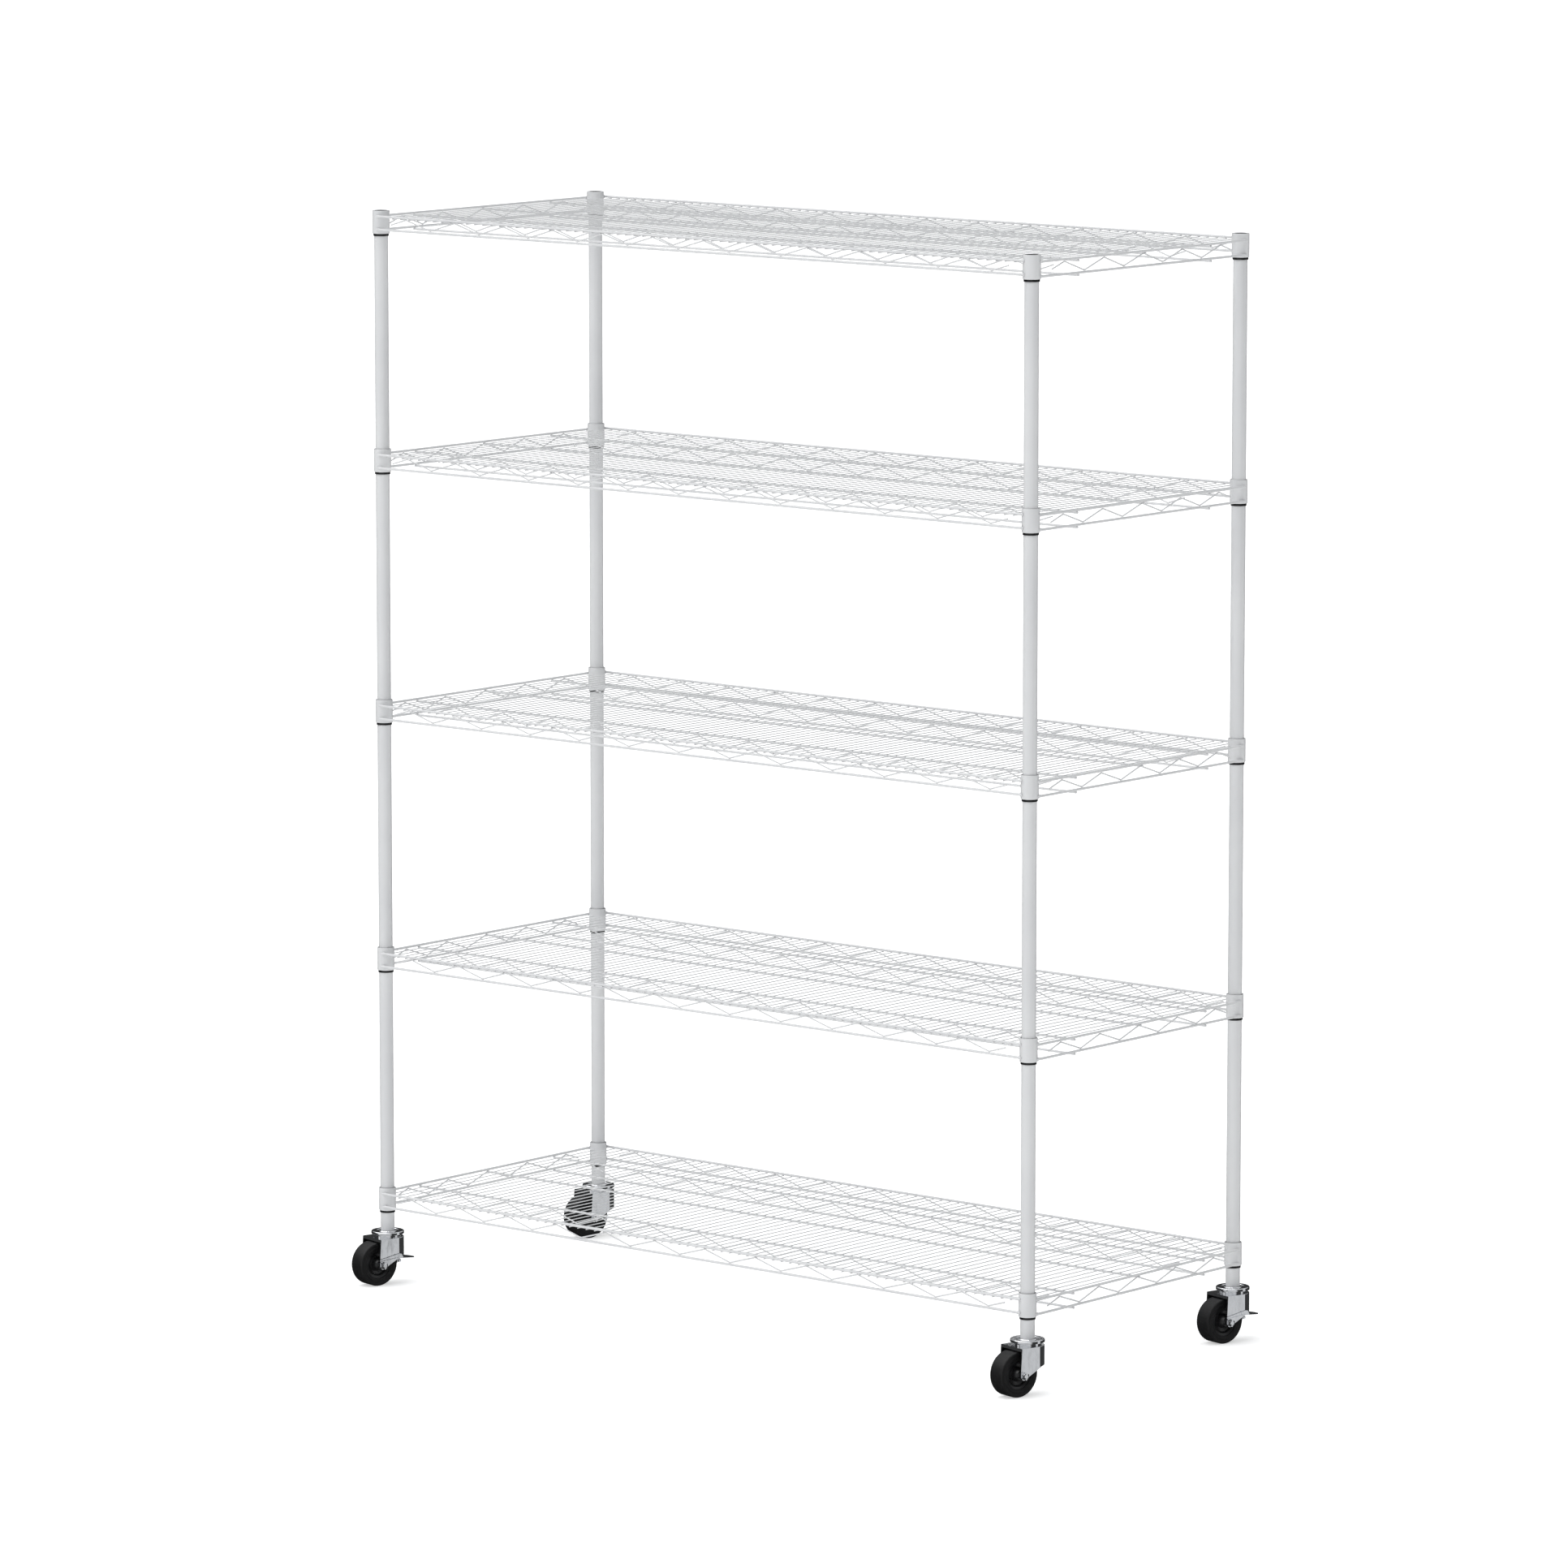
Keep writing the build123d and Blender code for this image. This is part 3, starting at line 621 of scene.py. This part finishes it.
@dataclass
class WireShelf:
    """The pattern of one welded shelf at height zero, stamped out once for every tier."""

    posts: dict[str, Vector]
    sizes: ShelfSizes = field(default_factory=ShelfSizes)
    masters: dict[str, bpy.types.Object] = field(default_factory=dict)

    def __post_init__(self) -> None:
        """Read the shelf's outline from the CAD frame."""
        low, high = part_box("shelf_1_rails")
        self.rail_x = high.x - self.sizes.rail
        self.rail_y = high.y - self.sizes.rail
        self.span_x = self.posts["front_right"].x - self.posts["front_left"].x
        self.span_y = self.posts["back_left"].y - self.posts["front_left"].y
        low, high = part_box("shelf_1_deck_wires")
        self.deck_end = high.x - self.sizes.deck
        self.deck_pitch = 2 * self.deck_end / (self.sizes.deck_wires - 1)
        self.deck_length = high.y - low.y
        self.support_length = 2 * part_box("shelf_1_support_trusses")[1].x

    def zigzag(self, first: float, pitch: float, bends: int, high: float, low: float) -> list:
        """Corners of a zigzag with a loose stub at each end.

        Args:
            first: place of the first peak.
            pitch: length of one full zigzag.
            bends: number of bends, peaks and valleys together.
            high: height of the peaks.
            low: height of the valleys.

        Returns:
            A list of (distance, height).
        """
        leg = pitch / 2
        swing = high - low
        stub = self.sizes.stub
        corners = [(first + i * leg, low if i % 2 else high) for i in range(bends)]
        end_side = -1 if bends % 2 else 1
        start = (first - stub * leg, high - stub * swing)
        end = (corners[-1][0] + stub * leg, corners[-1][1] + end_side * stub * swing)
        return [start, *corners, end]

    def build_rails(self) -> None:
        """The eight perimeter wires."""
        s = self.sizes
        wires = []
        for side in (-1, 1):
            for z in (s.long_foot, s.long_top):
                length = self.span_x - 2 * s.rail_end_gap
                wires.append(Bench.wire("rail", s.rail, length, (0, side * self.rail_y, z), Axis.X, 16))
            for z in (s.side_foot, s.side_top):
                length = self.span_y - 2 * s.rail_end_gap
                wires.append(Bench.wire("rail", s.rail, length, (side * self.rail_x, 0, z), Axis.Y, 16))
        self.masters["rails"] = Bench.join("rails", wires)

    def build_zigzags(self) -> None:
        """The zigzag wires of the four edges and of the two deep trusses."""
        s = self.sizes
        gap = s.rail + s.snake
        long_line = self.zigzag(
            s.long_first, s.long_pitch, s.long_bends, s.long_top - gap, s.long_foot + gap)
        side_line = self.zigzag(
            s.side_first, s.side_pitch, s.side_bends, s.side_top - gap, s.side_foot + gap)
        deep_gap = s.support + s.snake
        deep_line = self.zigzag(
            s.long_first, s.long_pitch, s.long_bends, s.support_top - deep_gap, s.support_foot + deep_gap)
        bender = WireBender("snake", s.snake, s.snake_bend)
        long_snake = bender.bend_through(long_line)
        side_snake = bender.bend_through(side_line)
        deep_snake = bender.bend_through(deep_line)
        quarter = Matrix.Rotation(math.pi / 2, 4, "Z")
        edges = [
            Bench.copy(long_snake, "snake", Matrix.Translation((0, side * self.rail_y, 0)))
            for side in (-1, 1)]
        edges += [
            Bench.copy(side_snake, "snake", Matrix.Translation((side * self.rail_x, shift, 0)) @ quarter)
            for side, shift in ((-1, 0.0), (1, s.right_shift))]
        self.masters["edge_zigzags"] = Bench.join("edge_zigzags", edges)
        deep = [
            Bench.copy(deep_snake, "snake", Matrix.Translation((0, side * s.support_y, 0)))
            for side in (-1, 1)]
        deep += [
            Bench.wire("support", s.support, self.support_length, (0, y, z), Axis.X, 14)
            for y, z in ((-s.support_y, s.support_top), (-s.support_y, s.support_foot), (0, s.support_top),
                         (s.support_y, s.support_top), (s.support_y, s.support_foot))]
        self.masters["support_trusses"] = Bench.join("support_trusses", deep)
        Bench.discard(long_snake, side_snake, deep_snake)

    def build_deck(self) -> None:
        """The cross wires that carry the goods."""
        s = self.sizes
        first = Bench.wire("deck", s.deck, self.deck_length,
                           (-self.deck_end + self.deck_pitch, 0, s.deck_height), Axis.Y, 8)
        Bench.modify(first, "ARRAY", count=s.deck_wires - 2, use_relative_offset=False,
                     use_constant_offset=True, constant_offset_displace=(self.deck_pitch, 0, 0))
        reach = 2 * (self.span_y / 2 - s.collar - s.end_wire_gap)
        ends = [Bench.wire("deck", s.deck, reach, (side * self.deck_end, 0, s.deck_height), Axis.Y, 8)
                for side in (-1, 1)]
        self.masters["deck_wires"] = Bench.join("deck_wires", [first, *ends])

    def build_collars(self) -> None:
        """The pressed collars at the four corners, open at both ends."""
        s = self.sizes
        height = s.collar_top - s.collar_foot
        collar = Bench.cylinder("collar", s.collar, height, (0, 0, s.collar_foot + height / 2), sides=64)
        Bench.open_ends(collar)
        Bench.modify(collar, "SOLIDIFY", thickness=s.collar_wall, offset=-1.0)
        Bench.modify(collar, "BEVEL", width=0.6 * MM, segments=3, limit_method="ANGLE")
        Bench.smooth(collar)
        self.masters["collars"] = self._at_corners(collar, "collars")
        sleeve = Bench.cylinder(
            "sleeve", s.sleeve, s.sleeve_top - s.sleeve_foot,
            (0, 0, (s.sleeve_top + s.sleeve_foot) / 2), sides=64)
        Bench.edit(sleeve)
        Bench.select(sleeve, "polygons", lambda face, mesh: abs(face.normal.z) > 0.9)
        bpy.ops.mesh.delete(type="FACE")
        rim = s.sleeve_top - WELD_DISTANCE
        Bench.select(sleeve, "vertices", lambda vertex, mesh: vertex.co.z > rim)
        bpy.ops.transform.resize(value=(s.sleeve_taper, s.sleeve_taper, 1.0))
        bpy.ops.object.mode_set(mode="OBJECT")
        Bench.modify(sleeve, "SOLIDIFY", thickness=s.sleeve_wall, offset=-1.0)
        Bench.edit(sleeve)
        bpy.ops.mesh.select_all(action="SELECT")
        bpy.ops.mesh.bisect(
            plane_co=(0, s.half_slit, 0), plane_no=(0, 1, 0), clear_inner=True, use_fill=True)
        bpy.ops.object.mode_set(mode="OBJECT")
        Bench.modify(sleeve, "BEVEL", width=0.25 * MM, segments=2, limit_method="ANGLE")
        Bench.smooth(sleeve)
        twin = Bench.copy(sleeve, "sleeve", Matrix.Rotation(math.pi, 4, "Z"))
        pair = Bench.join("sleeve", [sleeve, twin])
        self.masters["sleeve_halves"] = self._at_corners(pair, "sleeve_halves")

    def build_welds(self) -> None:
        """A low bead of weld metal where each rail meets a collar."""
        s = self.sizes
        Bench.clear()
        bpy.ops.mesh.primitive_uv_sphere_add(segments=10, ring_count=6, radius=1.0)
        bead = bpy.context.object
        Bench.pick(bead)
        bpy.ops.transform.resize(value=s.bead)
        Bench.settle(bead)
        Bench.smooth(bead, 80)
        beads = []
        quarter = Matrix.Rotation(math.pi / 2, 4, "Z")
        for post in self.posts.values():
            side_x = math.copysign(1, post.x)
            side_y = math.copysign(1, post.y)
            for z in (s.long_foot, s.long_top):
                spot = (post.x - side_x * s.bead_back, post.y + side_y * s.bead_out, z)
                beads.append(Bench.copy(bead, "bead", Matrix.Translation(spot)))
            for z in (s.side_foot, s.side_top):
                spot = (post.x + side_x * s.bead_out, post.y - side_y * s.bead_back, z)
                beads.append(Bench.copy(bead, "bead", Matrix.Translation(spot) @ quarter))
        Bench.discard(bead)
        self.masters["welds"] = Bench.join("welds", beads)

    def _at_corners(self, piece: bpy.types.Object, name: str) -> bpy.types.Object:
        """Copy a piece to the four posts and join the copies."""
        copies = [Bench.copy(piece, name, Matrix.Translation((p.x, p.y, 0))) for p in self.posts.values()]
        Bench.discard(piece)
        return Bench.join(name, copies)

    def build(self) -> None:
        """Model every master piece."""
        self.build_rails()
        self.build_zigzags()
        self.build_deck()
        self.build_collars()
        self.build_welds()
        for piece in self.masters.values():
            if piece.name in ("rails", "edge_zigzags", "support_trusses", "deck_wires"):
                Bench.smooth(piece, 50)

    def stamp(self, tier: int, coat: bpy.types.Material, plastic: bpy.types.Material) -> None:
        """Copy the pattern to one tier and hand its pieces to the frame.

        Args:
            tier: number of the shelf, counted from the floor.
            coat: finish of the metal.
            plastic: finish of the sleeves.
        """
        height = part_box(f"shelf_{tier}_collars")[0].z - self.sizes.collar_foot
        for part, master in self.masters.items():
            name = f"shelf_{tier}_{part}"
            piece = Bench.copy(master, f"{name}_finished", Matrix.Translation((0, 0, height)))
            node = "" if part == "welds" else name
            if part == "sleeve_halves":
                hand_over(piece, plastic, "rack", node)
            else:
                hand_over(piece, coat, "rack", node)


# ------------------------------------------------------------------------------------------------
# Posts
# ------------------------------------------------------------------------------------------------
@dataclass
class Posts:
    """The four tube posts and their end caps."""

    wall: float = 1.2 * MM
    sides: int = 72
    cap_depth: float = 16.0 * MM
    cap_gap: float = 0.05 * MM
    cap_rim: float = 1.4 * MM
    cap_slope: float = 0.6 * MM
    cap_dish: float = 0.8 * MM

    def centres(self) -> dict[str, Vector]:
        """Centre line of each post, from the frame."""
        found = {}
        for corner in CORNERS:
            low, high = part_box(f"post_{corner}")
            found[corner] = Vector(((low.x + high.x) / 2, (low.y + high.y) / 2, 0.0))
        return found

    def build(self, coat: bpy.types.Material, plastic: bpy.types.Material) -> None:
        """Model and dress the posts and the caps."""
        caps = []
        for corner, centre in self.centres().items():
            low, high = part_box(f"post_{corner}")
            radius = (high.x - low.x) / 2
            tube = Bench.cylinder(
                f"post_{corner}_tube", radius, high.z - low.z,
                (centre.x, centre.y, (high.z + low.z) / 2), sides=self.sides)
            Bench.open_ends(tube)
            Bench.modify(tube, "SOLIDIFY", thickness=self.wall, offset=-1.0)
            Bench.modify(tube, "BEVEL", width=0.35 * MM, segments=2, limit_method="ANGLE")
            Bench.smooth(tube)
            hand_over(tube, coat, "rack", f"post_{corner}")
            caps.append(self._cap(radius - self.wall, centre, high.z))
        hand_over(Bench.join("post_end_caps", caps), plastic, "rack", "post_caps")

    def _cap(self, bore: float, centre: Vector, top: float) -> bpy.types.Object:
        """A plug with a dished face, pressed into one post."""
        middle = (centre.x, centre.y, top - self.cap_depth / 2)
        cap = Bench.cylinder("cap", bore - self.cap_gap, self.cap_depth, middle, sides=64)
        Bench.edit(cap)
        Bench.select(cap, "polygons", lambda face, mesh: face.normal.z > UPRIGHT)
        bpy.ops.mesh.inset(thickness=self.cap_rim, depth=0.0)
        bpy.ops.mesh.inset(thickness=self.cap_slope, depth=-self.cap_dish)
        bpy.ops.object.mode_set(mode="OBJECT")
        Bench.modify(cap, "BEVEL", width=0.3 * MM, segments=2, limit_method="ANGLE")
        Bench.smooth(cap)
        return cap


# ------------------------------------------------------------------------------------------------
# Casters
# ------------------------------------------------------------------------------------------------
@dataclass(frozen=True)
class CasterSizes:
    """Sizes of one caster in millimetres: swivel axis at the origin, wheel trailing along +X."""

    heading: float = -103.0
    wheel: float = 40.0
    half_width: float = 16.5
    trail: float = 30.0
    bore: float = 26.0
    hub_half: float = 20.0
    bush: float = 6.0
    bolt: float = 4.0
    fork_half: float = 29.5
    fork_wall: float = 2.5
    race: float = 30.0
    race_top: float = 98.0
    race_foot: float = 92.5
    washer: float = 7.2
    washer_gap: float = 0.1
    washer_wall: float = 0.8
    nut: float = 6.9
    nut_height: float = 5.0
    bolt_end: float = 7.0
    stem: float = 5.0
    stem_top: float = 126.0


@dataclass
class Caster:
    """Pattern of one caster, modelled once at the origin and copied under every post."""

    sizes: CasterSizes = field(default_factory=CasterSizes)
    masters: dict[str, bpy.types.Object] = field(default_factory=dict)

    def build(self) -> None:
        """Model every piece."""
        self.masters["tyre"] = self.on_axle(self.tyre())
        self.masters["wheel_hub"] = self.on_axle(self.hub())
        self.masters["caster_axle"] = self.on_axle(self.axle())
        self.masters["caster_stem"] = self.stem()

    def on_axle(self, piece: bpy.types.Object) -> bpy.types.Object:
        """Lay a turned piece on the wheel's axle."""
        place = Matrix.Translation((self.sizes.trail * MM, 0, self.sizes.wheel * MM))
        piece.data.transform(place @ Matrix.Rotation(-math.pi / 2, 4, "X"))
        return piece

    @staticmethod
    def corner(radius: float, height: float, size: float, start: float, steps: int = 5) -> list:
        """Points of a rounded corner: a quarter circle that starts at an angle in degrees."""
        angles = [math.radians(start + 90 * i / steps) for i in range(steps + 1)]
        return [(radius + size * math.cos(a), height + size * math.sin(a)) for a in angles]

    def tyre(self) -> bpy.types.Object:
        """A hard tyre with round shoulders and a moulded line on each side."""
        c = self.sizes
        shoulder = 3.0
        half = c.half_width
        line = c.wheel - 7.5
        outline = [
            (c.bore, -half + 1.2), (c.bore + 3.0, -half), (line - 0.7, -half), (line, -half + 0.5),
            (line + 0.7, -half),
            *self.corner(c.wheel - shoulder, -half + shoulder, shoulder, -90),
            *self.corner(c.wheel - shoulder, half - shoulder, shoulder, 0),
            (line + 0.7, half), (line, half - 0.5), (line - 0.7, half), (c.bore + 3.0, half),
            (c.bore, half - 1.2)]
        return Bench.lathe("tyre", outline, 96)

    def hub(self) -> bpy.types.Object:
        """A dished hub with a stepped boss on both sides."""
        c = self.sizes
        half = c.half_width
        side = [(c.bush + 0.1, c.hub_half), (8.0, c.hub_half), (8.5, c.hub_half - 0.5), (11.0, half - 4.5),
                (12.5, half - 8.5), (13.6, half - 8.9), (18.4, half - 7.4), (19.0, half - 7.0),
                (21.3, half - 3.3), (22.0, half - 3.0), (25.6, half - 2.2), (c.bore, half - 2.6)]
        outline = [*side, *[(radius, -height) for radius, height in reversed(side)]]
        return Bench.lathe("wheel_hub", outline, 96)

    def axle(self) -> bpy.types.Object:
        """Bolt, bush, washers, bolt head and nut."""
        c = self.sizes
        end = c.fork_half + c.bolt_end
        bolt = Bench.lathe("axle", [(0, -end), (c.bolt - 0.6, -end), (c.bolt, -end + 0.6),
                                    (c.bolt, end - 0.6), (c.bolt - 0.6, end), (0, end)], 32)
        reach = c.fork_half - c.fork_wall - 0.1
        bush = Bench.lathe("bush", [(c.bolt + 0.1, -reach), (c.bush, -reach), (c.bush, reach),
                                    (c.bolt + 0.1, reach)], 48)
        pieces = [bolt, bush]
        for side in (-1, 1):
            inner = side * (c.fork_half + c.washer_gap)
            outer = side * (c.fork_half + c.washer_gap + c.washer_wall)
            pieces.append(Bench.lathe("washer", [(c.bolt + 0.1, inner), (c.washer, inner),
                                                 (c.washer, outer), (c.bolt + 0.1, outer)], 40))
            middle = side * (c.fork_half + c.washer_gap + c.washer_wall + c.nut_height / 2 + 0.1)
            nut = Bench.cylinder("nut", c.nut * MM, c.nut_height * MM, (0, 0, middle * MM), sides=6)
            Bench.modify(nut, "BEVEL", width=0.6 * MM, segments=2, limit_method="ANGLE")
            Bench.smooth(nut)
            pieces.append(nut)
        return Bench.join("caster_axle", pieces)

    def stem(self) -> bpy.types.Object:
        """Stem, upper race and king pin."""
        c = self.sizes
        top = c.race_top
        race = Bench.lathe("caster_stem", [
            (0, top - 2.4), (c.race - 2.0, top - 2.4), (c.race - 2.0, c.race_foot),
            (c.race - 0.4, c.race_foot), (c.race, c.race_foot + 0.4),
            *self.corner(c.race - 1.8, top - 1.9, 1.8, 0),
            (21.5, top - 0.1), (20.5, top - 0.9), (16.5, top - 0.9), (15.5, top),
            (c.stem, top), (c.stem, c.stem_top - 1.0), (c.stem - 1.0, c.stem_top), (0, c.stem_top)], 96)
        pin = Bench.lathe("king_pin", [(0, 81.7), (7.4, 81.7), (8.0, 82.3), (8.0, 84.7), (4.0, 84.7),
                                       (4.0, top - 2.3), (0, top - 2.3)], 48)
        return Bench.join("caster_stem", [race, pin])

    def stamp(self, corner: str, centre: Vector, finishes: dict[str, bpy.types.Material]) -> None:
        """Copy the pattern under one post.

        Args:
            corner: name of the corner.
            centre: centre line of the post.
            finishes: material of each piece.
        """
        place = Matrix.Translation((centre.x, centre.y, 0)) @ Matrix.Rotation(
            math.radians(self.sizes.heading), 4, "Z")
        bodies = {"tyre": f"wheel_{corner}", "wheel_hub": f"wheel_{corner}",
                  "caster_axle": f"swivel_{corner}", "caster_stem": "rack"}
        for part, master in self.masters.items():
            piece = Bench.copy(master, f"{part}_{corner}_finished", place)
            hand_over(piece, finishes[part], bodies[part], f"{part}_{corner}")

    @staticmethod
    def dress(node: str, material: bpy.types.Material) -> None:
        """Give a piece that stays as it is its finish."""
        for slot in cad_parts[node].material_slots:
            slot.material = material


# ------------------------------------------------------------------------------------------------
# Studio
# ------------------------------------------------------------------------------------------------
class Room(Graph):
    """Brightness of the room by direction."""

    def __init__(self, tree: bpy.types.NodeTree) -> None:
        """Start from the direction in which the room is seen."""
        super().__init__(tree)
        self.direction = self.node("ShaderNodeTexCoord", output="Generated")

    def ramp(self, toward: Vector, dark: float, bright: float) -> Signal:
        """Rise smoothly from 0 to 1 as the direction turns toward a vector.

        Args:
            toward: the vector.
            dark: dot product with it that still gives 0.
            bright: dot product with it from which on it is 1.

        Returns:
            A signal between 0 and 1.
        """
        facing = self.node(
            "ShaderNodeVectorMath", {"operation": "DOT_PRODUCT"}, {0: self.direction, 1: toward}, "Value")
        return self.node(
            "ShaderNodeMapRange", {"interpolation_type": "SMOOTHSTEP"},
            {"Value": facing, "From Min": dark, "From Max": bright}, "Result")

    def gap(self, start: float, end: float, edge: float) -> Signal:
        """A bright upright gap in the wall.

        Args:
            start: azimuth at which it begins, in degrees from +X.
            end: azimuth at which it ends.
            edge: softness of its two edges.

        Returns:
            1 within the gap and 0 outside it.
        """
        return self.ramp(self._past(start), -edge, edge) * self.ramp(-self._past(end), -edge, edge)

    @staticmethod
    def _past(azimuth: float) -> Vector:
        """Level vector whose positive side starts at an azimuth."""
        return Vector((-math.sin(math.radians(azimuth)), math.cos(math.radians(azimuth)), 0.0))


@dataclass
class Studio:
    """Pale floor, soft lights and the camera."""

    floor_size: float = 300.0
    floor_glow: float = 0.48
    window_gain: float = 0.6
    wall_glow: float = 0.045
    sun_power: float = 1.8
    sun_spread: float = 70.0
    sun_turn: tuple[float, float, float] = (20.0, -18.0, 0.0)
    key_place: tuple[float, float, float] = (-5.5, -7.0, 2.6)
    key_aim: tuple[float, float, float] = (0.0, 0.0, 0.9)
    key_size: float = 2.4
    key_power: float = 15.0
    lens: float = 199.47
    camera_place: tuple[float, float, float] = (9.8233, -11.7686, 3.1767)
    camera_turn: tuple[float, float, float] = (81.763, 0.0, 39.982)

    def build_floor(self) -> None:
        """A pale, matt floor that fills the background."""
        Bench.clear()
        bpy.ops.mesh.primitive_plane_add(size=self.floor_size, location=(0, 0, 0))
        floor = bpy.context.object
        floor.name = "floor"
        floor.visible_glossy = False
        shader = Shader("pale_floor")
        shader.set(Base_Color=(0.8, 0.8, 0.8, 1.0), Roughness=0.9, Specular_IOR_Level=0.0)
        shader.set(Emission_Color=(1.0, 1.0, 1.0, 1.0), Emission_Strength=self.floor_glow)
        floor.data.materials.append(shader.material)

    def build_room(self) -> None:
        """A room that is bright overhead, in front and in a gap on the right, and dark elsewhere."""
        world = bpy.data.worlds.new("studio")
        world.use_nodes = True
        room = Room(world.node_tree)
        overhead = room.ramp(Vector((0.0, 0.0, 1.0)), 0.25, 0.6)
        front = room.ramp(Vector((0.34, -0.94, 0.0)), 0.55, 0.8)
        windows = overhead.or_brighter(front).or_brighter(room.gap(20.5, 42.0, 0.01))
        background = room.tree.nodes["Background"]
        background.inputs["Color"].default_value = (0.97, 0.985, 1.0, 1.0)
        brightness = self.window_gain * windows + self.wall_glow
        room.tree.links.new(brightness.socket, background.inputs["Strength"])
        bpy.context.scene.world = world

    def build_lights(self) -> None:
        """A broad soft light from above and a square panel at the front left."""
        sun = bpy.data.lights.new("overhead", "SUN")
        sun.energy = self.sun_power
        sun.angle = math.radians(self.sun_spread)
        overhead = bpy.data.objects.new("overhead", sun)
        overhead.rotation_euler = [math.radians(angle) for angle in self.sun_turn]
        bpy.context.scene.collection.objects.link(overhead)
        panel = bpy.data.lights.new("key", "AREA")
        panel.size = self.key_size
        panel.energy = self.key_power
        key = bpy.data.objects.new("key", panel)
        key.location = self.key_place
        aim = Vector(self.key_aim) - Vector(self.key_place)
        key.rotation_euler = aim.to_track_quat("-Z", "Y").to_euler()
        bpy.context.scene.collection.objects.link(key)

    def build_camera(self) -> None:
        """The camera, from the front right and a little above the top shelf."""
        data = bpy.data.cameras.new("camera")
        data.sensor_width = 36.0
        data.lens = self.lens
        data.clip_end = 500.0
        camera = bpy.data.objects.new("camera", data)
        camera.location = self.camera_place
        camera.rotation_euler = [math.radians(angle) for angle in self.camera_turn]
        bpy.context.scene.collection.objects.link(camera)
        bpy.context.scene.camera = camera

    def build(self) -> None:
        """Set the whole stage."""
        self.build_floor()
        self.build_room()
        self.build_lights()
        self.build_camera()
        bpy.context.scene.view_settings.view_transform = "Standard"


def main() -> None:
    """Build the stage, the rack and its casters, in order."""
    logging.basicConfig(level=logging.INFO, format="%(name)s: %(message)s")
    Studio().build()
    coat = PowderCoat().make()
    chrome = Chrome().make()
    plastic = BlackPlastic().make()
    hub = BlackPlastic("black_hub", roughness=0.3).make()
    rubber = TyreRubber().make()
    posts = Posts()
    posts.build(coat, plastic)
    shelf = WireShelf(posts.centres())
    shelf.build()
    for tier in TIERS:
        shelf.stamp(tier, coat, plastic)
    Bench.discard(*shelf.masters.values())
    caster = Caster()
    caster.build()
    finishes = {"tyre": rubber, "wheel_hub": hub, "caster_axle": chrome, "caster_stem": chrome}
    for corner, centre in posts.centres().items():
        caster.stamp(corner, centre, finishes)
        Caster.dress(f"caster_fork_{corner}", chrome)
    Bench.discard(*caster.masters.values())
    for corner in BRAKED_CORNERS:
        Caster.dress(f"brake_lever_{corner}", chrome)
    Caster.dress("swivel_balls", chrome)
    Caster.dress("stem_sockets", plastic)


if __name__ == "__main__":
    main()
